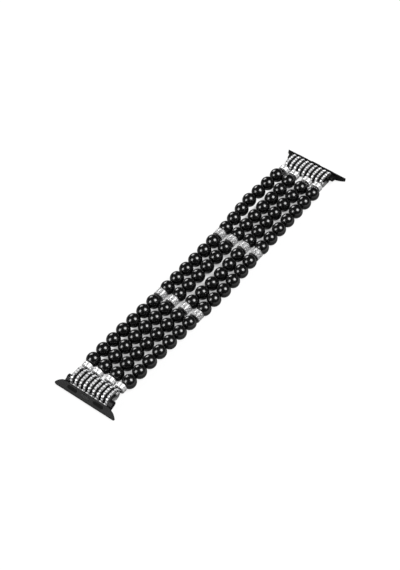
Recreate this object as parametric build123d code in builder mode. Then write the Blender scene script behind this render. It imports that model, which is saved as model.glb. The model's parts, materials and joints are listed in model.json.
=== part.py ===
from build123d import *
from math import asin, atan2, cos, degrees, hypot, pi, sin, sqrt, tan
import os

os.makedirs("parts", exist_ok=True)

# A watch band of round beads on four elastic cords, laid flat.
# X runs along the band, Y across it and Z up. The middle of the band is at X = 0
# and the beads lie on Z = 0. Everything past the middle is built for the far end,
# at +X, and mirrored for the near end.

# Beads and strands
bead_diameter = 6.0
bead_bore = 1.5
bead_gap = 0.08
middle_half_rows = 3
outer_rows = 7
strand_count = 4
# Where each strand lies across the band, at seven places along it from the near end:
# the first bead, the middle of the near section, its last bead, the middle of the
# band, and the same three of the far section in turn. Shares of a bead's diameter.
strand_place_shares = (
    (1.50, 1.48, 1.37, 1.375, 1.445, 1.73, 1.56),
    (0.49, 0.468, 0.35, 0.34, 0.425, 0.52, 0.545),
    (-0.52, -0.55, -0.70, -0.885, -0.615, -0.51, -0.55),
    (-1.58, -1.64, -1.725, -1.90, -1.67, -1.62, -1.562),
)
# The cord turns towards its ring gap inside the last bead, this far from the bead's
# middle. Share of a bead's radius.
cord_turn_share = 0.7

# Elastic cord. Each bend takes up this share of the shorter run beside it.
cord_diameter = 0.6
eye_gap = 0.05
cord_bend_share = 0.45

# Stone drums between the sections
drum_length = 3.3
drum_rim_diameter = 4.8
drum_core_diameter = 4.4
drum_rim_width = 0.3
drum_rim_round = 0.12
drum_bore = 1.5
drum_mouth = 2.0
dish_gap = 0.08
drum_stone_rows = 3
drum_stones_round = 12
drum_stone_width = 0.82

# Silver end beads
end_bead_diameter = 4.6
end_bead_length = 2.2
end_bead_bore = 2.0
end_bead_groove_width = 0.5
end_bead_groove_depth = 0.3
end_bead_round = 0.35
end_bead_gap = 0.1

# Stone rings
ring_count = 9
ring_length = 7.6
ring_height = 5.3
ring_wall = 0.6
ring_thickness = 1.25
ring_stones = 16
ring_stone_width = 1.1
ring_stone_proud = 0.3
ring_clearance = 0.25

# Stones and their seats
stone_sides = 8
stone_seat = 0.24
stone_crown_angle = 40.0
stone_seat_gap = 0.02
drum_stone_proud = 0.2

# Black spacer plates between the rings
spacer_thickness = 1.01
spacer_inset = 0.35
slot_side_gap = 0.2

# Cord bar, which the cords loop round
cord_bar_diameter = 1.4
bar_wall_gap = 0.1
bar_hole_gap = 0.05
bar_end_round = 0.2

# Spring bar, which the adapter turns on
spring_bar_diameter = 1.5
spring_bar_wall = 0.25
spring_bar_end_gap = 0.05
tube_lip = 0.3
tip_diameter = 0.8
tip_head_diameter = 0.94
tip_head_length = 0.5
tip_grip = 1.4
tip_gap = 0.05
tip_round = 0.2
bar_spring_wire = 0.14

# Slide-in adapter, square to its own tilted frame
adapter_length = 30.2
adapter_depth = 3.15
adapter_thickness = 3.0
adapter_rise = 1.55
adapter_nose_thickness = 1.15
adapter_back_land = 0.35
adapter_back_clearance = 0.35
adapter_edge_round = 0.2
adapter_corner_inset = 5.8
adapter_corner_reach = 3.5
corner_middle_inset_share = 0.276
corner_middle_depth_share = 0.59
adapter_end_width = 0.7
adapter_end_round = 0.6
ear_thickness = 1.75
ear_diameter = 2.3
ear_side_gap = 0.25
ear_root_depth = 1.6
notch_width = 0.55
notch_depth = 0.35
notch_inset = 4.0

# Rubber grip pads and the lock button in the adapter's sloping face, a little above
# its middle
face_shift = 0.3
pad_length = 5.0
pad_width = 1.5
pad_spacing = 13.3
pad_seat = 0.6
pad_proud = 0.08
button_length = 4.4
button_width = 1.4
button_seat = 0.45
button_proud = 0.2
button_side_gap = 0.05
button_round = 0.12
lock_spring_length = 3.4
lock_spring_width = 0.9
lock_spring_thickness = 0.12
# The leaf spring's arch is as high as the space under the button
lock_spring_rise = 0.55

# One overrun for every cut
overrun = 0.5

# Places along the band
pitch = bead_diameter + bead_gap
axis_z = bead_diameter / 2
bead_radius = bead_diameter / 2
dish_radius = bead_radius + dish_gap
drum_reach = drum_length / 2 + sqrt(dish_radius**2 - (drum_mouth / 2) ** 2)
middle_rows_x = [(index + 0.5) * pitch for index in range(middle_half_rows)]
drum_x = middle_rows_x[-1] + drum_reach
outer_rows_x = [drum_x + drum_reach + index * pitch for index in range(outer_rows)]
far_rows_x = middle_rows_x + outer_rows_x
rows_x = [-x for x in reversed(far_rows_x)] + far_rows_x
end_bead_x = far_rows_x[-1] + bead_radius + end_bead_gap + end_bead_length / 2

# Places in the ring stack and the adapter
ring_pitch = ring_thickness + spacer_thickness
bar_inset = ring_wall + bar_wall_gap
cord_bar_offset = bar_inset + cord_bar_diameter / 2
ring_start_x = end_bead_x + end_bead_length / 2 + ring_clearance + ring_stone_proud
ring_x = ring_start_x + ring_length / 2
cord_bar_x = ring_start_x + cord_bar_offset
spring_bar_x = ring_start_x + ring_length - bar_inset - spring_bar_diameter / 2
stack_half = (ring_count - 1) / 2 * ring_pitch + ring_thickness / 2
eye_radius = cord_bar_diameter / 2 + eye_gap + cord_diameter / 2
ring_places_y = [(index - (ring_count - 1) / 2) * ring_pitch for index in range(ring_count)]
spacer_count = ring_count - 1
spacer_places_y = [(index - (spacer_count - 1) / 2) * ring_pitch for index in range(spacer_count)]
# The gaps that the cords of strands 1 to 4 come out of, counted from -Y
exit_spacers = (spacer_count - 1, spacer_count - 3, 2, 0)

# The adapter's frame: its origin is on the spring bar, local X points out of the band
# and local Y up. It droops until the bottom of its nose meets Z = 0.
back_x = ring_start_x + ring_length + ring_stone_proud + adapter_back_clearance - spring_bar_x
nose_x = back_x + adapter_depth
bottom_y = adapter_rise - adapter_thickness
nose_top_y = bottom_y + adapter_nose_thickness
droop = degrees(asin(axis_z / hypot(nose_x, bottom_y)) - atan2(-bottom_y, nose_x))
droop_radians = droop * pi / 180
out_x = cos(droop_radians)
out_z = -sin(droop_radians)
adapter_origin = (spring_bar_x, 0, axis_z)
section_plane = Plane(origin=adapter_origin, x_dir=(out_x, 0, out_z), z_dir=(0, -1, 0))
outline_plane = Plane(origin=adapter_origin, x_dir=(out_x, 0, out_z), z_dir=(-out_z, 0, out_x))
slope_top_x = back_x + adapter_back_land
slope = atan2(adapter_rise - nose_top_y, nose_x - slope_top_x)
face_tilt = droop_radians + slope
face_middle_x = (slope_top_x + nose_x) / 2
face_middle_y = (adapter_rise + nose_top_y) / 2
face_centre = section_plane.from_local_coords(
    (face_middle_x - face_shift * cos(slope), face_middle_y + face_shift * sin(slope), 0)
)
face_plane = Plane(origin=face_centre, x_dir=(0, 1, 0), z_dir=(sin(face_tilt), 0, cos(face_tilt)))
face_axis = Axis(origin=face_centre, direction=face_plane.z_dir)
bar_plane = Plane(origin=adapter_origin, x_dir=(1, 0, 0), z_dir=(0, -1, 0))
ear_inner_y = stack_half + ear_side_gap
tube_half = ear_inner_y - spring_bar_end_gap

# Knots of the strands' routes
last_row_x = far_rows_x[-1]
turn_x = last_row_x + cord_turn_share * bead_radius
section_start_x = outer_rows_x[0]
section_middle_x = outer_rows_x[outer_rows // 2]
knots_x = (
    -turn_x,
    -section_middle_x,
    -section_start_x,
    0,
    section_start_x,
    section_middle_x,
    turn_x,
)


def strand_y(strand, x):
    """Where a strand lies across the band at a place along it."""
    shares = strand_place_shares[strand]
    places = zip(knots_x, knots_x[1:], shares, shares[1:])
    for start_x, end_x, start_share, end_share in places:
        if x <= end_x:
            way = (x - start_x) / (end_x - start_x)
            return bead_diameter * (start_share + way * (end_share - start_share))
    return bead_diameter * shares[-1]


def exit_y(strand):
    """Where a strand's cord loops round the cord bar."""
    return spacer_places_y[exit_spacers[strand]]


def end_bead_y(strand, end):
    """The end bead sits on the cord's straight run from the last bead to its loop."""
    start_y = strand_y(strand, end * turn_x)
    way = (end_bead_x - turn_x) / (cord_bar_x - eye_radius - turn_x)
    return start_y + way * (exit_y(strand) - start_y)


def save_both_ends(far_piece, name):
    """Writes a far piece and its mirror image at the near end."""
    far_piece.part.label = "far_" + name
    export_step(far_piece.part, "parts/far_" + name + ".step")
    with BuildPart() as near_piece:
        mirror(far_piece.part, about=Plane.YZ)
    near_piece.part.label = "near_" + name
    export_step(near_piece.part, "parts/near_" + name + ".step")


# One round bead, bored along X
with BuildPart() as bead:
    with BuildSketch(Plane.XY):
        with BuildLine():
            wall_y = bead_bore / 2
            wall_x = sqrt(bead_radius**2 - wall_y**2)
            ThreePointArc((-wall_x, wall_y), (0, bead_radius), (wall_x, wall_y))
            Line((wall_x, wall_y), (-wall_x, wall_y))
        make_face()
    revolve(axis=Axis.X)

# The rows of four beads, numbered from the near end
for number, row_x in enumerate(rows_x, start=1):
    with BuildPart() as bead_row:
        with Locations(*[(row_x, strand_y(strand, row_x), axis_z) for strand in range(strand_count)]):
            add(bead.part)
    row_name = "bead_row_%02d" % number
    bead_row.part.label = row_name
    export_step(bead_row.part, "parts/" + row_name + ".step")


def build_stone(width, proud):
    """A flat-topped octagonal stone, standing on its seat with its girdle at Z = 0."""
    with BuildPart() as cut_stone:
        with BuildSketch(Plane.XY.offset(-stone_seat)):
            RegularPolygon(radius=width / 2, side_count=stone_sides)
        extrude(amount=stone_seat)
        with BuildSketch(Plane.XY):
            RegularPolygon(radius=width / 2, side_count=stone_sides)
        extrude(amount=proud, taper=stone_crown_angle)
    return cut_stone


ring_stone = build_stone(ring_stone_width, ring_stone_proud)
drum_stone = build_stone(drum_stone_width, drum_stone_proud)


def drum_stone_planes():
    """Seats on the drum's core, in rows staggered by half a step."""
    planes = []
    band_width = drum_length - 2 * drum_rim_width
    for row in range(drum_stone_rows):
        x = (row - (drum_stone_rows - 1) / 2) * band_width / drum_stone_rows
        for step in range(drum_stones_round):
            turn = 2 * pi * (step + row % 2 / 2) / drum_stones_round
            normal = (0, cos(turn), sin(turn))
            origin = (x, normal[1] * drum_core_diameter / 2, normal[2] * drum_core_diameter / 2)
            planes.append(Plane(origin=origin, x_dir=(1, 0, 0), z_dir=normal))
    return planes


# One drum, with dished ends that the beads turn in
with BuildPart() as drum:
    with BuildSketch(Plane.XY) as drum_profile:
        with BuildLine():
            bore_y = drum_bore / 2
            mouth_y = drum_mouth / 2
            dish_middle_y = (bore_y + mouth_y) / 2
            dish_end_x = drum_reach - sqrt(dish_radius**2 - bore_y**2)
            dish_middle_x = drum_reach - sqrt(dish_radius**2 - dish_middle_y**2)
            end_x = drum_length / 2
            rim_start_x = end_x - drum_rim_width
            Line((0, bore_y), (dish_end_x, bore_y))
            ThreePointArc((dish_end_x, bore_y), (dish_middle_x, dish_middle_y), (end_x, mouth_y))
            Polyline(
                (end_x, mouth_y),
                (end_x, drum_rim_diameter / 2),
                (rim_start_x, drum_rim_diameter / 2),
                (rim_start_x, drum_core_diameter / 2),
                (0, drum_core_diameter / 2),
            )
            mirror(about=Plane.YZ)
        make_face()
        fillet(drum_profile.vertices().group_by(Axis.Y)[-1], drum_rim_round)
    revolve(axis=Axis.X)
    with Locations(*drum_stone_planes()):
        Cylinder(
            radius=drum_stone_width / 2 + stone_seat_gap,
            height=2 * stone_seat,
            mode=Mode.SUBTRACT,
        )

# The stones of one drum
with BuildPart() as drum_stone_set:
    with Locations(*drum_stone_planes()):
        add(drum_stone.part)

# The drums and their stones, at both ends of the middle section
for end, end_name in ((-1, "near"), (1, "far")):
    drum_places = [
        (end * drum_x, strand_y(strand, end * drum_x), axis_z) for strand in range(strand_count)
    ]
    with BuildPart() as drums:
        with Locations(*drum_places):
            add(drum.part)
    drums.part.label = end_name + "_drums"
    export_step(drums.part, "parts/" + end_name + "_drums.step")
    with BuildPart() as drum_stones:
        with Locations(*drum_places):
            add(drum_stone_set.part)
    drum_stones.part.label = end_name + "_drum_stones"
    export_step(drum_stones.part, "parts/" + end_name + "_drum_stones.step")

# One silver end bead with a groove round its rim
with BuildPart() as end_bead:
    with BuildSketch(Plane.XY) as end_bead_profile:
        with BuildLine():
            groove_x = end_bead_groove_width / 2
            rim_y = end_bead_diameter / 2
            Polyline(
                (0, end_bead_bore / 2),
                (end_bead_length / 2, end_bead_bore / 2),
                (end_bead_length / 2, rim_y),
                (groove_x, rim_y),
                (groove_x, rim_y - end_bead_groove_depth),
                (0, rim_y - end_bead_groove_depth),
            )
            mirror(about=Plane.YZ)
        make_face()
        rim_corners = end_bead_profile.vertices().group_by(Axis.Y)[-1].sort_by(Axis.X)
        fillet([rim_corners[0], rim_corners[-1]], end_bead_round)
    revolve(axis=Axis.X)

# The end beads of both ends
for end, end_name in ((-1, "near"), (1, "far")):
    end_bead_places = [
        (end * end_bead_x, end_bead_y(strand, end), axis_z) for strand in range(strand_count)
    ]
    with BuildPart() as end_beads:
        with Locations(*end_bead_places):
            add(end_bead.part)
    end_beads.part.label = end_name + "_end_beads"
    export_step(end_beads.part, "parts/" + end_name + "_end_beads.step")


def cord_route(strand):
    """The cord's points, from its loop at the near end to its loop at the far end."""
    loop_x = cord_bar_x - eye_radius
    points = [(-loop_x, exit_y(strand), axis_z)]
    for x in knots_x:
        points.append((x, strand_y(strand, x), axis_z))
    points.append((loop_x, exit_y(strand), axis_z))
    return points


def cord_radii(points):
    """Each corner's arc is as large as its two runs allow."""
    radii = []
    for before, corner, after in zip(points, points[1:], points[2:]):
        run_in = Vector(*corner) - Vector(*before)
        run_out = Vector(*after) - Vector(*corner)
        half_turn = run_in.get_angle(run_out) / 2 * pi / 180
        radii.append(cord_bend_share * min(run_in.length, run_out.length) / tan(half_turn))
    return radii


# The four elastic cords, each with a loop round the cord bar at both ends
for strand in range(strand_count):
    cord_points = cord_route(strand)
    with BuildPart() as elastic_cord:
        with BuildLine() as cord_line:
            FilletPolyline(*cord_points, radius=cord_radii(cord_points))
        with BuildSketch(Plane(origin=cord_line.line @ 0, z_dir=cord_line.line % 0)):
            Circle(cord_diameter / 2)
        sweep(path=cord_line.line)
        with Locations((-cord_bar_x, exit_y(strand), axis_z), (cord_bar_x, exit_y(strand), axis_z)):
            Torus(eye_radius, cord_diameter / 2, rotation=(90, 0, 0))
    cord_name = "elastic_cord_%d" % (strand + 1)
    elastic_cord.part.label = cord_name
    export_step(elastic_cord.part, "parts/" + cord_name + ".step")


def ring_stone_planes(places_y):
    """Seats round the rings' outer wall, evenly spaced along it."""
    bend_radius = ring_height / 2
    straight = ring_length - ring_height
    bend = pi * bend_radius
    step = (2 * straight + 2 * bend) / ring_stones
    planes = []
    for index in range(ring_stones):
        way = (index + 0.5) * step
        side = 1
        if way > straight + bend:
            way -= straight + bend
            side = -1
        if way < straight:
            local_x = way - straight / 2
            turn = pi / 2
            foot = (local_x, bend_radius)
        else:
            turn = pi / 2 - (way - straight) / bend_radius
            foot = (straight / 2 + bend_radius * cos(turn), bend_radius * sin(turn))
        normal = (side * cos(turn), 0, side * sin(turn))
        for y in places_y:
            origin = (ring_x + side * foot[0], y, axis_z + side * foot[1])
            planes.append(Plane(origin=origin, x_dir=(0, 1, 0), z_dir=normal))
    return planes


# One ring, with a seat for each stone
with BuildPart() as ring:
    with BuildSketch(Plane(origin=(ring_x, 0, axis_z), x_dir=(1, 0, 0), z_dir=(0, -1, 0))):
        SlotOverall(ring_length, ring_height)
        SlotOverall(ring_length - 2 * ring_wall, ring_height - 2 * ring_wall, mode=Mode.SUBTRACT)
    extrude(amount=ring_thickness / 2, both=True)
    with Locations(*ring_stone_planes([0])):
        Cylinder(
            radius=ring_stone_width / 2 + stone_seat_gap,
            height=2 * stone_seat,
            mode=Mode.SUBTRACT,
        )

# The stack of rings
with BuildPart() as rings:
    with Locations(*[(0, y, 0) for y in ring_places_y]):
        add(ring.part)
save_both_ends(rings, "rings")

# The stones of the whole stack
with BuildPart() as ring_stones_group:
    with Locations(*ring_stone_planes(ring_places_y)):
        add(ring_stone.part)
save_both_ends(ring_stones_group, "ring_stones")

# The spacer plates. Those that a cord comes out of are open towards the beads.
spacer_length = ring_length - 2 * spacer_inset
spacer_height = ring_height - 2 * spacer_inset
cord_hole = 2 * (eye_radius + cord_diameter / 2 + eye_gap)
with BuildPart() as ring_spacers:
    for index, spacer_y in enumerate(spacer_places_y):
        plate_plane = Plane(origin=(ring_x, spacer_y, axis_z), x_dir=(1, 0, 0), z_dir=(0, -1, 0))
        with BuildSketch(plate_plane):
            SlotOverall(spacer_length, spacer_height)
            with Locations((spring_bar_x - ring_x, 0)):
                Circle(spring_bar_diameter / 2 + bar_hole_gap, mode=Mode.SUBTRACT)
            with Locations((cord_bar_x - ring_x, 0)):
                if index in exit_spacers:
                    Circle(cord_hole / 2, mode=Mode.SUBTRACT)
                    Rectangle(
                        ring_length,
                        cord_diameter + 2 * slot_side_gap,
                        align=(Align.MAX, Align.CENTER),
                        mode=Mode.SUBTRACT,
                    )
                else:
                    Circle(cord_bar_diameter / 2 + bar_hole_gap, mode=Mode.SUBTRACT)
        extrude(amount=spacer_thickness / 2, both=True)
save_both_ends(ring_spacers, "ring_spacers")

# The cord bar runs through the whole stack, on the bead side of the rings
with BuildPart() as cord_bar:
    with BuildSketch(Plane(origin=(cord_bar_x, 0, axis_z), x_dir=(1, 0, 0), z_dir=(0, -1, 0))):
        Circle(cord_bar_diameter / 2)
    extrude(amount=stack_half, both=True)
    fillet(cord_bar.edges().filter_by(GeomType.CIRCLE), bar_end_round)
save_both_ends(cord_bar, "cord_bar")

# The adapter: its section, trimmed to its outline seen from above, with two ears
with BuildPart() as adapter:
    with BuildSketch(section_plane) as adapter_section:
        with BuildLine():
            Polyline(
                (back_x, bottom_y),
                (nose_x, bottom_y),
                (nose_x, nose_top_y),
                (slope_top_x, adapter_rise),
                (back_x, adapter_rise),
                close=True,
            )
        make_face()
        fillet(adapter_section.vertices(), adapter_edge_round)
    extrude(amount=adapter_length / 2, both=True)
    with BuildSketch(outline_plane) as adapter_outline:
        with BuildLine():
            half_length = adapter_length / 2
            corner_x = nose_x - adapter_corner_reach
            corner_y = half_length - adapter_corner_inset
            middle_x = nose_x - corner_middle_depth_share * adapter_corner_reach
            middle_y = half_length - corner_middle_inset_share * adapter_corner_inset
            end_start_x = nose_x - adapter_end_width
            ThreePointArc((corner_x, corner_y), (middle_x, middle_y), (end_start_x, half_length))
            Polyline(
                (end_start_x, half_length),
                (nose_x, half_length),
                (nose_x, -half_length),
                (end_start_x, -half_length),
            )
            ThreePointArc((end_start_x, -half_length), (middle_x, -middle_y), (corner_x, -corner_y))
            Line((corner_x, -corner_y), (corner_x, corner_y))
        make_face()
        fillet(adapter_outline.vertices().group_by(Axis.X)[-1], adapter_end_round)
    extrude(amount=adapter_thickness, both=True, mode=Mode.INTERSECT)
    for ear_plane in (
        section_plane.offset(ear_inner_y),
        section_plane.offset(-ear_inner_y - ear_thickness),
    ):
        with BuildSketch(ear_plane):
            Circle(ear_diameter / 2)
            with BuildLine():
                Polyline(
                    (0, -ear_diameter / 2),
                    (back_x + ear_root_depth, bottom_y + adapter_edge_round),
                    (back_x + ear_root_depth, 0),
                    (0, ear_diameter / 2),
                    close=True,
                )
            make_face()
        extrude(amount=ear_thickness)
    with Locations(bar_plane):
        Cylinder(
            radius=tip_diameter / 2 + tip_gap,
            height=2 * (ear_inner_y + ear_thickness + overrun),
            mode=Mode.SUBTRACT,
        )
    with BuildSketch(outline_plane):
        with Locations(
            (nose_x, half_length - notch_inset - notch_width / 2),
            (nose_x, -half_length + notch_inset + notch_width / 2),
        ):
            Rectangle(2 * notch_depth, notch_width)
    extrude(amount=adapter_thickness, both=True, mode=Mode.SUBTRACT)
    with BuildSketch(face_plane):
        with Locations((-pad_spacing / 2, 0), (pad_spacing / 2, 0)):
            SlotOverall(pad_length, pad_width)
    extrude(amount=-pad_seat, mode=Mode.SUBTRACT)
    with BuildSketch(face_plane):
        SlotOverall(button_length + 2 * button_side_gap, button_width + 2 * button_side_gap)
    extrude(amount=-(button_seat + lock_spring_rise), mode=Mode.SUBTRACT)
save_both_ends(adapter, "adapter")

# Two rubber pads, seated in the sloping face
with BuildPart() as grip_pads:
    with BuildSketch(face_plane.offset(-pad_seat)):
        with Locations((-pad_spacing / 2, 0), (pad_spacing / 2, 0)):
            SlotOverall(pad_length, pad_width)
    extrude(amount=pad_seat + pad_proud)
save_both_ends(grip_pads, "grip_pads")

# The lock button stands out of the face and is pressed in
with BuildPart() as lock_button:
    with BuildSketch(face_plane.offset(-button_seat)):
        SlotOverall(button_length, button_width)
    extrude(amount=button_seat + button_proud)
    fillet(lock_button.faces().sort_by(face_axis)[-1].edges(), button_round)
save_both_ends(lock_button, "lock_button")

# An arched leaf spring between the button and the floor of its pocket
leaf_plane = Plane(
    origin=face_plane.from_local_coords((0, 0, -button_seat - lock_spring_rise)),
    x_dir=(0, 1, 0),
    z_dir=-face_plane.y_dir,
)
with BuildPart() as lock_spring:
    with BuildSketch(leaf_plane):
        with BuildLine():
            leaf_end = lock_spring_length / 2
            leaf_top = lock_spring_rise
            leaf_foot = lock_spring_thickness
            ThreePointArc((-leaf_end, leaf_foot), (0, leaf_top), (leaf_end, leaf_foot))
            Line((leaf_end, leaf_foot), (leaf_end, 0))
            ThreePointArc((leaf_end, 0), (0, leaf_top - leaf_foot), (-leaf_end, 0))
            Line((-leaf_end, 0), (-leaf_end, leaf_foot))
        make_face()
    extrude(amount=lock_spring_width / 2, both=True)
save_both_ends(lock_spring, "lock_spring")

# The spring bar's tube, closed in to a lip at each end
with BuildPart() as bar_tube:
    with BuildSketch(bar_plane):
        Circle(spring_bar_diameter / 2)
        Circle(spring_bar_diameter / 2 - spring_bar_wall, mode=Mode.SUBTRACT)
    extrude(amount=tube_half, both=True)
    for lip_plane in (bar_plane.offset(tube_half - tube_lip), bar_plane.offset(-tube_half)):
        with BuildSketch(lip_plane):
            Circle(spring_bar_diameter / 2)
            Circle(tip_diameter / 2 + tip_gap, mode=Mode.SUBTRACT)
        extrude(amount=tube_lip)
save_both_ends(bar_tube, "bar_tube")

# The spring bar's tips, each with a head behind the tube's lip
tip_head_start = tube_half - tube_lip - tip_head_length
tip_end = ear_inner_y + tip_grip
for side, side_name in ((-1, "left"), (1, "right")):
    with BuildPart() as bar_tip:
        with BuildSketch(bar_plane.offset(side * tip_head_start)):
            Circle(tip_head_diameter / 2)
        extrude(amount=side * tip_head_length)
        with BuildSketch(bar_plane.offset(side * tip_head_start)):
            Circle(tip_diameter / 2)
        extrude(amount=side * (tip_end - tip_head_start))
        tip_edges = bar_tip.edges().filter_by(GeomType.CIRCLE).sort_by(Axis.Y)
        fillet(tip_edges[0 if side > 0 else -1], tip_round)
    save_both_ends(bar_tip, "bar_tip_" + side_name)

# The coil between the tips, as the thin sleeve that it fills
with BuildPart() as bar_spring:
    with BuildSketch(bar_plane):
        Circle(tip_diameter / 2)
        Circle(tip_diameter / 2 - bar_spring_wire, mode=Mode.SUBTRACT)
    extrude(amount=tip_head_start, both=True)
save_both_ends(bar_spring, "bar_spring")

print("pitch %.3f, drum reach %.3f, first rows %.3f" % (pitch, drum_reach, far_rows_x[-1]))
print("end bead %.3f, cord bar %.3f, spring bar %.3f" % (end_bead_x, cord_bar_x, spring_bar_x))
print("droop %.2f degrees, face tilt %.2f degrees" % (droop, degrees(face_tilt)))
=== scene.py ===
import json
from math import cos, pi, radians, sin, sqrt

import bpy
from mathutils import Matrix, Vector


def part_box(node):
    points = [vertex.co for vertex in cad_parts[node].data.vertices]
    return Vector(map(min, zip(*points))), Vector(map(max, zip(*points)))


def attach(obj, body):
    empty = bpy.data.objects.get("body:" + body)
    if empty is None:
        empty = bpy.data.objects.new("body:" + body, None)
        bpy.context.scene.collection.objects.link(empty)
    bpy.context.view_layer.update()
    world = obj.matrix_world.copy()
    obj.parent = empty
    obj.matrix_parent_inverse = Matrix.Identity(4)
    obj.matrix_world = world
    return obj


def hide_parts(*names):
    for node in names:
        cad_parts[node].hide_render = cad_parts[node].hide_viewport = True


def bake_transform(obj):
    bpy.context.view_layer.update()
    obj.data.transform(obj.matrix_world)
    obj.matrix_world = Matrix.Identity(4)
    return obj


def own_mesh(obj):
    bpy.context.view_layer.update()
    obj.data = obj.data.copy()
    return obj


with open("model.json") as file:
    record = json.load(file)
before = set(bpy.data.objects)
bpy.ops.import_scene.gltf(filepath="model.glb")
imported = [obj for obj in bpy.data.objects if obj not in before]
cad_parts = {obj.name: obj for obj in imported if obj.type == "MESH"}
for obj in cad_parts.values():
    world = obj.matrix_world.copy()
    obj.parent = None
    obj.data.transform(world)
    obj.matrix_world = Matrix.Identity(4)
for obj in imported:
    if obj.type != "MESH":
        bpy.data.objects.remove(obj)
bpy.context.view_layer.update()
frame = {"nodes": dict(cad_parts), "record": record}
nodes = frame["nodes"]
scene = bpy.context.scene
mm = 0.001

# The band's sizes and travels, as its source and record have them
bead_radius = 3.0 * mm
bead_bore = 0.75 * mm
axis_z = 3.0 * mm
strand_count = 4
row_count = 20
outer_rows = 7
drum_length = 3.3 * mm
drum_rim_radius = 2.4 * mm
drum_core_radius = 2.2 * mm
drum_rim_width = 0.3 * mm
drum_mouth = 1.0 * mm
drum_dish_depth = 0.074 * mm
drum_rows = 3
drum_stones_round = 12
drum_stone_width = 0.82 * mm
drum_stone_proud = 0.2 * mm
end_bead_radius = 2.3 * mm
end_bead_length = 2.2 * mm
end_bead_bore = 1.0 * mm
end_bead_groove_width = 0.5 * mm
end_bead_groove_depth = 0.3 * mm
ring_count = 9
ring_thickness = 1.25 * mm
ring_wall = 0.6 * mm
ring_stones = 16
ring_stone_width = 1.1 * mm
ring_stone_proud = 0.3 * mm
cord_radius = 0.3 * mm
eye_radius = 1.05 * mm
coil_wire = 0.14 * mm

# Sizes of the scene's own: how deep the stones sit, windings of each half of a coil, sides of
# round pieces, tiers of a stone's cut as shares of its height and of the tier below, a margin
# for telling points apart, and how far edges are rounded
drum_stone_seat = 0.2 * mm
ring_stone_seat = 0.24 * mm
coil_turns = 22
round_sides = 64
ring_sides = 96
stone_sides = 8
stone_tiers = ((0.6, 0.8), (0.4, 0.68))
margin = 0.01 * mm
bore_round = 0.1 * mm
ring_round = 0.12 * mm
end_bead_round = 0.34 * mm
groove_round = 0.06 * mm

# Turns that lay a round piece's axis along X or along Y
along_x = (0, pi / 2, 0)
along_y = (pi / 2, 0, 0)

# The two ends, with the side of the middle that each lies on
ends = {"near": -1, "far": 1}


class Value:
    """A socket in a material's node tree that can be added to and multiplied."""

    def __init__(self, finish, socket):
        self.finish = finish
        self.socket = socket

    def combine(self, operation, first, second):
        return self.finish.node("ShaderNodeMath", {"operation": operation}, {0: first, 1: second})

    def __add__(self, other):
        return self.combine("ADD", self, other)

    def __mul__(self, other):
        return self.combine("MULTIPLY", self, other)


class Finish:
    """A material, built up node by node."""

    def __init__(self, name):
        self.material = bpy.data.materials.new(name)
        self.material.use_nodes = True
        self.tree = self.material.node_tree
        self.tree.nodes.clear()

    def node(self, kind, settings=None, sockets=None, output=0):
        """Adds a node with its settings, then its sockets' values or links. Returns one output."""
        added = self.tree.nodes.new(kind)
        for name, value in (settings or {}).items():
            if name == "stops":
                for stop, (place, colour) in zip(added.color_ramp.elements, value):
                    stop.position = place
                    stop.color = colour
            else:
                setattr(added, name, value)
        for name, value in (sockets or {}).items():
            if isinstance(value, Value):
                self.tree.links.new(value.socket, added.inputs[name])
            else:
                added.inputs[name].default_value = value
        return Value(self, added.outputs[output]) if len(added.outputs) else None

    def place(self):
        """Where a point lies on the object, in metres."""
        return self.node("ShaderNodeTexCoord", output="Object")

    def noise(self, scale, detail=3.0, roughness=0.5):
        return self.node(
            "ShaderNodeTexNoise",
            {"normalize": True},
            {"Vector": self.place(), "Scale": scale, "Detail": detail, "Roughness": roughness},
        )

    def cells(self, scale, output="Color"):
        sockets = {"Vector": self.place(), "Scale": scale}
        return self.node("ShaderNodeTexVoronoi", None, sockets, output)

    def ramp(self, value, start, dark, end, light):
        """Colours between two places of a value."""
        stops = ((start, dark), (end, light))
        return self.node("ShaderNodeValToRGB", {"stops": stops}, {"Fac": value})

    def smooth(self, value, start, end, low=0.0, high=1.0):
        """Goes gently from low to high between two places of a value."""
        return self.node(
            "ShaderNodeMapRange",
            {"interpolation_type": "SMOOTHSTEP"},
            {"Value": value, "From Min": start, "From Max": end, "To Min": low, "To Max": high},
        )

    def spread(self, value, low, high):
        """Turns a value from 0 to 1 into one from low to high."""
        return value * (high - low) + low

    def bump(self, height, strength, distance):
        return self.node(
            "ShaderNodeBump", None, {"Height": height, "Strength": strength, "Distance": distance}
        )

    def surface(self, **sockets):
        """Ends the material with a surface shader. Socket names are written with underscores."""
        shader = self.node(
            "ShaderNodeBsdfPrincipled",
            None,
            {name.replace("_", " "): value for name, value in sockets.items()},
        )
        self.node("ShaderNodeOutputMaterial", None, {"Surface": shader})
        return self.material


def grey(level, blue=1.0):
    return (level, level, level * blue, 1.0)


def bead_finish():
    """Black glass bead, polished, with a faint unevenness in the polish."""
    finish = Finish("polished_black_bead")
    wave = finish.noise(260.0)
    return finish.surface(
        Base_Color=finish.ramp(finish.noise(900.0), 0.3, grey(0.0012), 0.7, grey(0.0024, 1.1)),
        Roughness=finish.spread(wave, 0.25, 0.3),
        IOR=1.45,
        Coat_Weight=0.6,
        Coat_Roughness=0.08,
        Coat_IOR=1.6,
        Normal=finish.bump(wave, 0.03, 0.02 * mm),
    )


def stone_finish(name, dull, bright):
    """Foil-backed cut glass, with painted glints: each facet takes its own brightness in its
    colour.
    """
    finish = Finish(name)
    # Painted glints: cells of lighter and darker colour stand in for what each facet reflects
    painted_glint = finish.cells(2400.0)
    return finish.surface(
        Base_Color=finish.ramp(painted_glint, 0.05, grey(dull, 1.02), 0.45, grey(bright, 1.01)),
        Metallic=finish.spread(painted_glint, 0.0, 0.15),
        Roughness=finish.spread(finish.noise(1500.0), 0.12, 0.25),
        IOR=1.6,
        Coat_Weight=0.6,
        Coat_Roughness=0.05,
    )


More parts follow.
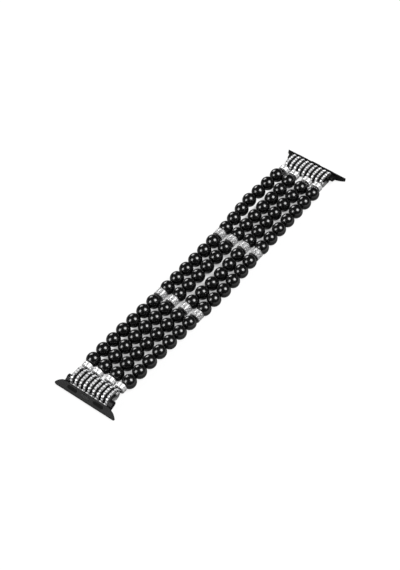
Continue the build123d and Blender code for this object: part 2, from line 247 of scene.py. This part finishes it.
def silver_finish(name, dull, bright):
    """Bright plating with fine polishing marks."""
    finish = Finish(name)
    marks = finish.noise(3200.0, 4.0, 0.6)
    return finish.surface(
        Base_Color=finish.ramp(finish.noise(500.0), 0.3, grey(dull), 0.7, grey(bright)),
        Metallic=0.6,
        Roughness=finish.spread(marks, 0.26, 0.4),
        Normal=finish.bump(marks, 0.05, 0.01 * mm),
    )


def coated_finish(name, level, metallic, smoothest, roughest):
    """Satin coating over metal, with the fine grain of a blasted surface."""
    finish = Finish(name)
    grain = finish.noise(5200.0, 5.0, 0.65)
    cloud = finish.noise(180.0)
    return finish.surface(
        Base_Color=finish.ramp(cloud, 0.25, grey(level * 0.88), 0.8, grey(level * 1.12, 1.04)),
        IOR=1.32,
        Metallic=metallic,
        Roughness=finish.spread(grain, smoothest, roughest),
        Normal=finish.bump(grain, 0.25, 0.012 * mm),
    )


def rubber_finish():
    """Matt rubber with a pebbled skin."""
    finish = Finish("pad_rubber_skin")
    pebble = finish.cells(5200.0, "Distance")
    return finish.surface(
        Base_Color=finish.ramp(finish.noise(700.0), 0.3, grey(0.003), 0.7, grey(0.005)),
        Roughness=finish.spread(pebble, 0.62, 0.85),
        IOR=1.25,
        Normal=finish.bump(pebble, 0.3, 0.02 * mm),
    )


def spacer_finish():
    """Black moulded plastic."""
    finish = Finish("moulded_black_spacer")
    skin = finish.noise(2600.0)
    return finish.surface(
        Base_Color=finish.ramp(skin, 0.3, grey(0.002), 0.7, grey(0.005)),
        Roughness=finish.spread(skin, 0.5, 0.7),
        IOR=1.25,
        Normal=finish.bump(skin, 0.15, 0.01 * mm),
    )


def steel_finish():
    """Drawn steel, with lines along its length across the band."""
    finish = Finish("drawn_spring_steel")
    stretched = finish.node(
        "ShaderNodeMapping", None, {"Vector": finish.place(), "Scale": (1.0, 0.05, 1.0)}
    )
    lines = finish.node(
        "ShaderNodeTexNoise", None, {"Vector": stretched, "Scale": 5000.0, "Detail": 3.0}
    )
    return finish.surface(
        Base_Color=finish.ramp(lines, 0.3, grey(0.48), 0.7, grey(0.62)),
        Metallic=1.0,
        Roughness=finish.spread(lines, 0.22, 0.42),
    )


def elastic_finish():
    """Smooth black elastic with a faint ribbing."""
    finish = Finish("black_elastic")
    ribs = finish.node(
        "ShaderNodeTexWave", {"bands_direction": "X"}, {"Vector": finish.place(), "Scale": 900.0}
    )
    return finish.surface(
        Base_Color=finish.ramp(ribs, 0.2, grey(0.012), 0.8, grey(0.02)),
        Roughness=finish.spread(ribs, 0.45, 0.6),
        Normal=finish.bump(ribs, 0.2, 0.02 * mm),
    )


finishes = {
    "bead_black": bead_finish(),
    "rhinestone": stone_finish("cut_glass_stone", dull=0.3, bright=0.85),
    "silver_metal": silver_finish("bright_silver_plating", dull=0.86, bright=0.94),
    "adapter_black": coated_finish(
        "satin_black_adapter", level=0.004, metallic=0.05, smoothest=0.4, roughest=0.5
    ),
    "lock_metal": coated_finish(
        "satin_lock_button", level=0.009, metallic=0.1, smoothest=0.32, roughest=0.44
    ),
    "pad_rubber": rubber_finish(),
    "spacer_black": spacer_finish(),
    "spring_steel": steel_finish(),
    "elastic_cord": elastic_finish(),
}


def deselect():
    """Leaves nothing selected, so that the next operator acts on its own piece alone."""
    if bpy.context.object and bpy.context.object.mode != "OBJECT":
        bpy.ops.object.mode_set(mode="OBJECT")
    bpy.ops.object.select_all(action="DESELECT")


def select(piece, test):
    """Selects a piece's points that pass a test, with the edges and faces between them."""
    bpy.ops.object.mode_set(mode="OBJECT")
    mesh = piece.data
    for part in (*mesh.edges, *mesh.polygons):
        part.select = False
    for vertex in mesh.vertices:
        vertex.select = test(vertex.co)
    bpy.ops.object.mode_set(mode="EDIT")
    bpy.ops.mesh.select_mode(type="VERT")


def select_faces(piece, test):
    """Selects a piece's faces whose middle and normal pass a test."""
    bpy.ops.object.mode_set(mode="OBJECT")
    mesh = piece.data
    for part in (*mesh.vertices, *mesh.edges):
        part.select = False
    for face in mesh.polygons:
        face.select = test(face.center, face.normal)
    bpy.ops.object.mode_set(mode="EDIT")
    bpy.ops.mesh.select_mode(type="FACE")


def reach(point):
    """How far a point is from the X axis."""
    return sqrt(point.y**2 + point.z**2)


def new_cylinder(name, radius, length, vertices, turn):
    deselect()
    bpy.ops.mesh.primitive_cylinder_add(
        vertices=vertices, radius=radius, depth=length, end_fill_type="NGON", rotation=turn
    )
    piece = bpy.context.object
    piece.name = name
    bpy.ops.object.transform_apply(location=True, rotation=True, scale=True)
    return piece


def join_rims():
    """Joins the two open rims of the piece in edit mode with a bore's wall."""
    bpy.ops.mesh.select_mode(type="EDGE")
    bpy.ops.mesh.select_non_manifold(extend=False)
    bpy.ops.mesh.bridge_edge_loops()


def open_bore(piece, end_faces):
    """Takes out the two end faces and joins their rims with a bore's wall."""
    select_faces(piece, end_faces)
    bpy.ops.mesh.delete(type="FACE")
    join_rims()


def cut_across(piece, *places):
    """Cuts the faces of a piece at some places along X."""
    for x in places:
        bpy.ops.object.mode_set(mode="EDIT")
        bpy.ops.mesh.select_all(action="SELECT")
        bpy.ops.mesh.bisect(plane_co=(x, 0, 0), plane_no=(1, 0, 0))


def sink_band(share):
    """Draws the selected faces in towards the X axis, to a share of their radius."""
    bpy.ops.mesh.extrude_region_move()
    bpy.ops.transform.resize(value=(1, share, share), center_override=(0, 0, 0))


def finish_shape(piece, angle):
    """Turns the faces outwards and shades the piece smooth up to an angle."""
    bpy.ops.object.mode_set(mode="EDIT")
    bpy.ops.mesh.select_all(action="SELECT")
    bpy.ops.mesh.normals_make_consistent(inside=False)
    deselect()
    piece.select_set(True)
    bpy.context.view_layer.objects.active = piece
    bpy.ops.object.shade_smooth_by_angle(angle=radians(angle))


def apply_bevel(piece, width, segments, angle):
    """Rounds the piece's edges that are sharper than an angle."""
    deselect()
    bpy.context.view_layer.objects.active = piece
    piece.select_set(True)
    rounding = piece.modifiers.new("rounding", "BEVEL")
    rounding.width = width
    rounding.segments = segments
    rounding.limit_method = "ANGLE"
    rounding.angle_limit = radians(angle)
    bpy.ops.object.modifier_apply(modifier=rounding.name)


def model_bead():
    """One round bead, bored along X, with a rounded rim at each end of its bore."""
    deselect()
    bpy.ops.mesh.primitive_uv_sphere_add(
        segments=round_sides, ring_count=40, radius=bead_radius, rotation=along_x
    )
    bead = bpy.context.object
    bead.name = "bead_model"
    bpy.ops.object.transform_apply(location=True, rotation=True, scale=True)
    select(bead, lambda p: reach(p) < bead_bore)
    bpy.ops.mesh.delete(type="VERT")
    join_rims()
    apply_bevel(bead, bore_round, segments=3, angle=50)
    finish_shape(bead, angle=60)
    return bead


def model_drum():
    """One drum: a core between two rims, with dished ends and a bore."""
    drum = new_cylinder("drum_model", drum_rim_radius, drum_length, round_sides, along_x)
    rim_start = drum_length / 2 - drum_rim_width
    cut_across(drum, -rim_start, rim_start)
    select_faces(drum, lambda p, n: abs(p.x) < rim_start and abs(n.x) < 0.5)
    sink_band(drum_core_radius / drum_rim_radius)
    select_faces(drum, lambda p, n: abs(n.x) > 0.9 and abs(p.x) > rim_start + drum_rim_width / 2)
    bpy.ops.mesh.inset(thickness=drum_rim_radius - drum_mouth, depth=0, use_individual=True)
    bpy.ops.mesh.inset(
        thickness=drum_mouth - bead_bore, depth=-drum_dish_depth, use_individual=True
    )
    open_bore(drum, lambda p, n: abs(n.x) > 0.9 and reach(p) < bead_bore / 2)
    apply_bevel(drum, bore_round, segments=3, angle=50)
    finish_shape(drum, angle=40)
    return drum


def model_end_bead():
    """One silver bead: rounded rims with a groove between them, and a bore."""
    bead = new_cylinder("end_bead_model", end_bead_radius, end_bead_length, round_sides, along_x)
    half_groove = end_bead_groove_width / 2
    select_faces(bead, lambda p, n: abs(n.x) > 0.9)
    bpy.ops.mesh.inset(thickness=end_bead_radius - end_bead_bore, use_individual=True)
    open_bore(bead, lambda p, n: abs(n.x) > 0.9 and reach(p) < end_bead_bore / 2)
    apply_bevel(bead, end_bead_round, segments=6, angle=50)
    cut_across(bead, -half_groove, half_groove)
    select_faces(
        bead, lambda p, n: abs(p.x) < half_groove / 2 and reach(p) > end_bead_radius * 0.9
    )
    sink_band(1 - end_bead_groove_depth / end_bead_radius)
    apply_bevel(bead, groove_round, segments=2, angle=70)
    finish_shape(bead, angle=40)
    return bead


def model_ring(length, height):
    """One oval ring, lying along X with its axis along Y."""
    ring = new_cylinder("ring_model", height / 2, ring_thickness, ring_sides, along_y)
    straight = (length - height) / 2
    for side in (-1, 1):
        select(ring, lambda p: p.x * side > margin)
        bpy.ops.transform.translate(value=(side * straight, 0, 0))
    select_faces(ring, lambda p, n: abs(n.y) > 0.9)
    bpy.ops.mesh.inset(thickness=ring_wall, use_individual=True)
    open_bore(ring, lambda p, n: abs(n.y) > 0.9 and abs(p.z) < height / 8)
    apply_bevel(ring, ring_round, segments=3, angle=50)
    finish_shape(ring, angle=40)
    return ring


def model_stone(width, proud, seat):
    """One cut stone, standing on its seat, with its girdle at Z = 0."""
    deselect()
    bpy.ops.mesh.primitive_cylinder_add(
        vertices=stone_sides,
        radius=width / 2,
        depth=seat,
        location=(0, 0, -seat / 2),
        end_fill_type="NGON",
    )
    stone = bpy.context.object
    stone.name = "stone_model"
    bpy.ops.object.transform_apply(location=True, rotation=True, scale=True)
    height = 0.0
    for rise, share in stone_tiers:
        select(stone, lambda p: p.z > height - margin)
        bpy.ops.mesh.select_mode(type="FACE")
        bpy.ops.mesh.extrude_region_move()
        height += rise * proud
        bpy.ops.transform.translate(value=(0, 0, rise * proud))
        bpy.ops.transform.resize(value=(share, share, 1), center_override=(0, 0, 0))
        bpy.ops.transform.rotate(value=pi / stone_sides, orient_axis="Z", center_override=(0, 0, 0))
    select_faces(stone, lambda p, n: margin < p.z < proud - margin)
    bpy.ops.mesh.quads_convert_to_tris()
    bpy.ops.mesh.select_all(action="SELECT")
    bpy.ops.mesh.normals_make_consistent(inside=False)
    deselect()
    return stone


def copies_of(model, places, name):
    """Copies a model to each place, each with its own mesh, and joins them as one piece."""
    deselect()
    copies = []
    for place in places:
        copy = model.copy()
        copy.data = model.data.copy()
        copy.data.transform(place)
        scene.collection.objects.link(copy)
        copy.select_set(True)
        copies.append(copy)
    bpy.context.view_layer.objects.active = copies[0]
    bpy.ops.object.join()
    copies[0].name = name
    return copies[0]


def dress(piece, slot, body, *replaced, finish=None):
    """Gives a piece its finish and its body, if it keeps to one, and lets it stand for the CAD
    nodes that it replaces."""
    piece.data.materials.clear()
    piece.data.materials.append(finish or finishes[slot])
    if body:
        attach(piece, body)
    if replaced:
        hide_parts(*replaced)


def strand_places(node, diameter):
    """The middles of the four like pieces of a node, read across the band from its solid."""
    low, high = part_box(node)
    sides = sorted(vertex.co.y for vertex in nodes[node].data.vertices)
    start = low.y
    places = []
    while len(places) < strand_count:
        places.append(Vector(((low.x + high.x) / 2, start + diameter / 2, axis_z)))
        later = [y for y in sides if y > start + diameter + 2 * margin]
        start = later[0] if later else high.y - diameter
    return places


def tube(name, points, radius):
    """A smooth length of cord through some points."""
    deselect()
    curve = bpy.data.curves.new(name, "CURVE")
    curve.dimensions = "3D"
    curve.bevel_depth = radius
    curve.bevel_resolution = 3
    curve.resolution_u = 6
    curve.use_fill_caps = True
    spline = curve.splines.new("NURBS")
    spline.points.add(len(points) - 1)
    for point, place in zip(spline.points, points):
        point.co = (*place, 1.0)
    spline.order_u = 3
    spline.use_endpoint_u = True
    cord = bpy.data.objects.new(name, curve)
    scene.collection.objects.link(cord)
    cord.select_set(True)
    bpy.context.view_layer.objects.active = cord
    bpy.ops.object.convert(target="MESH")
    bpy.ops.object.shade_smooth()
    return cord


def joined(pieces, name):
    deselect()
    for piece in pieces:
        piece.select_set(True)
    bpy.context.view_layer.objects.active = pieces[0]
    bpy.ops.object.join()
    pieces[0].name = name
    return pieces[0]


# The beads of the twenty rows
bead = model_bead()
rows = []
for number in range(1, row_count + 1):
    node = "bead_row_%02d" % number
    places = strand_places(node, 2 * bead_radius)
    rows.append(places)
    row = copies_of(bead, [Matrix.Translation(place) for place in places], "beads_%02d" % number)
    dress(row, "bead_black", "row_%02d" % number, node)
bpy.data.objects.remove(bead)

# The drums, with their stones in three staggered rows. Their plating is duller than the silver
# beads', and their stones are duller than the rings': both are painted shade.
drum_silver = silver_finish("painted_shade_drum_plating", dull=0.3, bright=0.45)
pave_glass = stone_finish("small_pave_stone", dull=0.2, bright=0.62)
drum = model_drum()
drum_stone = model_stone(drum_stone_width, drum_stone_proud, drum_stone_seat)
drum_middles = {}
for end in ends:
    places = strand_places(end + "_drums", 2 * drum_rim_radius)
    drum_middles[end] = places
    drums = copies_of(drum, [Matrix.Translation(place) for place in places], end + "_drum_shells")
    dress(drums, "silver_metal", end + "_drum_set", end + "_drums", finish=drum_silver)
    seats = []
    band_width = drum_length - 2 * drum_rim_width
    for place in places:
        for row in range(drum_rows):
            for step in range(drum_stones_round):
                turn = 2 * pi * (step + row % 2 / 2) / drum_stones_round
                along = (row - (drum_rows - 1) / 2) * band_width / drum_rows
                seat = Matrix.Translation(place + Vector((along, 0, 0)))
                seat = seat @ Matrix.Rotation(turn, 4, "X")
                seats.append(seat @ Matrix.Translation((0, 0, drum_core_radius)))
    stones = copies_of(drum_stone, seats, end + "_drum_pave")
    dress(stones, "rhinestone", end + "_drum_set", end + "_drum_stones", finish=pave_glass)
bpy.data.objects.remove(drum)
bpy.data.objects.remove(drum_stone)

# The silver beads at both ends
end_bead = model_end_bead()
end_middles = {}
for end in ends:
    places = strand_places(end + "_end_beads", 2 * end_bead_radius)
    end_middles[end] = places
    seats = [Matrix.Translation(place) for place in places]
    beads = copies_of(end_bead, seats, end + "_silver_beads")
    dress(beads, "silver_metal", end + "_end_bead_set", end + "_end_beads")
bpy.data.objects.remove(end_bead)


def ring_seats(length, height):
    """Where a ring's stones sit round its outer wall, with +Z out of the wall."""
    bend = height / 2
    straight = length - height
    step = (2 * straight + 2 * pi * bend) / ring_stones
    seats = []
    for index in range(ring_stones // 2):
        way = (index + 0.5) * step
        if way < straight:
            foot = Vector((way - straight / 2, 0, bend))
            turn = 0.0
        else:
            turn = (way - straight) / bend
            foot = Vector((straight / 2 + bend * sin(turn), 0, bend * cos(turn)))
        seat = Matrix.Translation(foot) @ Matrix.Rotation(turn, 4, "Y")
        seats += [seat, Matrix.Rotation(pi, 4, "Y") @ seat]
    return seats


# The rings of both ends, plated like the drums, with their stones. Their plating is a darker copy
# of the silver beads', painted shade.
ring_silver = silver_finish("painted_shade_ring_plating", dull=0.3, bright=0.45)
for end in ends:
    low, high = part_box(end + "_rings")
    middle = (low + high) / 2
    length = high.x - low.x
    height = high.z - low.z
    pitch = (high.y - low.y - ring_thickness) / (ring_count - 1)
    middles = [
        Vector((middle.x, (index - (ring_count - 1) / 2) * pitch, axis_z))
        for index in range(ring_count)
    ]
    ring = model_ring(length, height)
    rings = copies_of(ring, [Matrix.Translation(place) for place in middles], end + "_oval_rings")
    dress(rings, "silver_metal", end + "_ring_stack", end + "_rings", finish=ring_silver)
    bpy.data.objects.remove(ring)
    stone = model_stone(ring_stone_width, ring_stone_proud, ring_stone_seat)
    seats = [
        Matrix.Translation(place) @ seat for place in middles for seat in ring_seats(length, height)
    ]
    stones = copies_of(stone, seats, end + "_ring_crystals")
    dress(stones, "rhinestone", end + "_ring_stack", end + "_ring_stones")
    bpy.data.objects.remove(stone)

# The elastic cords, in lengths from the middle of one piece that they cross to the middle of
# the next.
stations = [("row_%02d" % (index + 1), places) for index, places in enumerate(rows)]
stations.insert(outer_rows, ("near_drum_set", drum_middles["near"]))
stations.insert(-outer_rows, ("far_drum_set", drum_middles["far"]))
stations.insert(0, ("near_end_bead_set", end_middles["near"]))
stations.append(("far_end_bead_set", end_middles["far"]))
cord_nodes = ["elastic_cord_%d" % (strand + 1) for strand in range(strand_count)]
for index, ((body, starts), (next_body, stops)) in enumerate(zip(stations, stations[1:])):
    lengths = [
        tube("cord_bit", [start, (start + stop) / 2, stop], cord_radius)
        for start, stop in zip(starts, stops)
    ]
    cords = joined(lengths, "cord_lengths_%02d" % (index + 1))
    dress(cords, "elastic_cord", None, *(cord_nodes if body == "row_10" else ()))
    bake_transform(cords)

# Past the silver beads each cord runs to the cord bar, with a loop round it
for end, side in ends.items():
    low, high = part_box(end + "_cord_bar")
    bar_x = (low.x + high.x) / 2
    loops = []
    tails = []
    last_row = rows[0] if side < 0 else rows[-1]
    for strand, place in enumerate(end_middles[end]):
        last = last_row[strand]
        lead = (place - last).normalized()
        exit_place = last + lead * (abs(bar_x) - eye_radius - abs(last.x)) / abs(lead.x)
        deselect()
        bpy.ops.mesh.primitive_torus_add(
            location=(bar_x, exit_place.y, axis_z),
            rotation=along_y,
            major_radius=eye_radius,
            minor_radius=cord_radius,
            major_segments=40,
            minor_segments=12,
        )
        loop = bpy.context.object
        bpy.ops.object.transform_apply(location=True, rotation=True, scale=True)
        bpy.ops.object.shade_smooth()
        loops.append(loop)
        tails.append(tube("cord_bit", [place, (place + exit_place) / 2, exit_place], cord_radius))
    dress(joined(loops, end + "_cord_loops"), "elastic_cord", end + "_ring_stack")
    cords = joined(tails, end + "_cord_tails")
    dress(cords, "elastic_cord", None)
    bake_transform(cords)


def model_coil(name, low, high):
    """A coil of wire along Y, filling half of the sleeve that the solid keeps for it."""
    radius = (high.x - low.x) / 2 - coil_wire / 2
    deselect()
    bpy.ops.mesh.primitive_circle_add(
        vertices=8, radius=coil_wire / 2, location=(radius, 0, 0), rotation=along_y
    )
    coil = bpy.context.object
    coil.name = name
    bpy.ops.object.transform_apply(location=True, rotation=True, scale=True)
    winding = coil.modifiers.new("winding", "SCREW")
    winding.axis = "Y"
    winding.screw_offset = (high.y - low.y - coil_wire) / coil_turns
    winding.iterations = coil_turns
    winding.steps = 20
    winding.render_steps = 20
    bpy.ops.object.modifier_apply(modifier=winding.name)
    middle = (low + high) / 2
    bpy.ops.object.mode_set(mode="EDIT")
    bpy.ops.mesh.select_all(action="SELECT")
    bpy.ops.mesh.normals_make_consistent(inside=False)
    bpy.ops.transform.translate(value=(middle.x, low.y + coil_wire / 2, middle.z))
    deselect()
    coil.select_set(True)
    bpy.ops.object.shade_smooth()
    return coil


# Each spring bar's sleeve becomes a coil of wire in two halves, and the leaf spring its own mesh
for end, side in ends.items():
    low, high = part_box(end + "_bar_spring")
    middle = (low + high) / 2
    sleeve = (end + "_bar_spring",)
    for hand, start, stop, replaced in (
        ("left", Vector((low.x, middle.y, low.z)), high, sleeve),
        ("right", low, Vector((high.x, middle.y, high.z)), ()),
    ):
        coil = model_coil(end + "_bar_coil_" + hand, start, stop)
        dress(coil, "spring_steel", end + "_adapter_set", *replaced)
        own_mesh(coil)
    leaf = nodes[end + "_lock_spring"]
    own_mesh(leaf)

# The solids that stay as they are take their finish from the record's slots
for subpart in frame["record"]["subparts"]:
    node = nodes[subpart["node"]]
    if not node.hide_render:
        node.data.materials.clear()
        node.data.materials.append(finishes[subpart["material_slot"]])


def studio_white():
    """The floor shows white to the eye and still takes a soft shadow. Reflections see it too, with
    a painted shade: brightest in front of the band's lower side and dim behind its upper side.
    Between the strands it is white paper in part, so the beads' own shadows show there."""
    finish = Finish("pale_studio_floor")
    eye = finish.node("ShaderNodeLightPath", output="Is Camera Ray")
    reflected = finish.node("ShaderNodeLightPath", output="Is Glossy Ray")
    reflected = reflected + finish.node("ShaderNodeLightPath", output="Is Transmission Ray")
    along = finish.node("ShaderNodeSeparateXYZ", None, {"Vector": finish.place()}, "X")
    along = finish.node("ShaderNodeMath", {"operation": "ABSOLUTE"}, {0: along})
    across = finish.node("ShaderNodeSeparateXYZ", None, {"Vector": finish.place()}, "Y")
    # Painted shade in the reflections: the floor they see dims towards the band and behind it
    seen = eye + reflected * finish.smooth(across, -30 * mm, -12 * mm, 0.55, 0.04)
    white = finish.node("ShaderNodeEmission", None, {"Color": grey(1.0), "Strength": 0.87})
    dark = finish.node("ShaderNodeEmission", None, {"Color": grey(0.0), "Strength": 0.0})
    shown = finish.node("ShaderNodeMixShader", None, {0: seen, 1: dark, 2: white})
    matt = finish.node("ShaderNodeBsdfDiffuse", None, {"Color": grey(0.15)})
    both = finish.node("ShaderNodeAddShader", None, {0: shown, 1: matt})
    paper = finish.node("ShaderNodeBsdfDiffuse", None, {"Color": grey(0.8)})
    inside = finish.smooth(across, -9.8 * mm, -8.8 * mm) * finish.smooth(across, 9 * mm, 7 * mm)
    between_strands = inside * finish.smooth(along, 64 * mm, 61 * mm)
    paper_share = between_strands * 0.55
    surface = finish.node("ShaderNodeMixShader", None, {0: paper_share, 1: both, 2: paper})
    finish.node("ShaderNodeOutputMaterial", None, {"Surface": surface})
    return finish.material


deselect()
bpy.ops.mesh.primitive_plane_add(size=6.0, location=(0, 0, 0))
floor = bpy.context.object
floor.name = "studio_floor"
floor.data.materials.append(studio_white())

world = bpy.data.worlds.new("studio_air")
scene.world = world
world.use_nodes = True
world.node_tree.nodes["Background"].inputs["Color"].default_value = grey(0.8)
world.node_tree.nodes["Background"].inputs["Strength"].default_value = 0.025

# The camera stands where the photograph was taken from
azimuth = radians(-47.57)
elevation = radians(50.28)
roll = radians(-5.29)
distance = 665.1 * mm
target = Vector((-6.45, -1.65, 3.0)) * mm
back = Vector((sin(azimuth) * cos(elevation), -cos(azimuth) * cos(elevation), sin(elevation)))
level_right = Vector((cos(azimuth), sin(azimuth), 0))
level_up = back.cross(level_right)
right = level_right * cos(roll) + level_up * sin(roll)
up = level_up * cos(roll) - level_right * sin(roll)
lens = bpy.data.cameras.new("camera")
lens.lens = 103.07
lens.sensor_width = 36.0
lens.clip_start = 0.01
lens.clip_end = 20.0
camera = bpy.data.objects.new("camera", lens)
scene.collection.objects.link(camera)
camera.matrix_world = Matrix.Translation(target + back * distance) @ Matrix(
    (right, up, back)
).transposed().to_4x4()
scene.camera = camera

softbox_distance = 0.9


def add_softbox(name, direction, size, power):
    """A soft light of a size in metres, in a direction given in the camera's own axes."""
    way = (right * direction[0] + up * direction[1] + back * direction[2]).normalized()
    light = bpy.data.lights.new(name, "AREA")
    light.shape = "ELLIPSE"
    light.size, light.size_y = size
    light.energy = power
    lamp = bpy.data.objects.new(name, light)
    scene.collection.objects.link(lamp)
    lamp.location = way * softbox_distance
    lamp.rotation_mode = "QUATERNION"
    lamp.rotation_quaternion = way.to_track_quat("Z", "Y")


add_softbox("key_softbox", (0.47, 0.415, 0.778), size=(0.56, 0.56), power=8.5)
add_softbox("side_softbox", (-0.817, 0.0, 0.577), size=(0.4, 0.58), power=4.6)
add_softbox("back_softbox", (-0.451, 0.876, -0.17), size=(0.46, 0.34), power=3.2)

scene.view_settings.view_transform = "Standard"
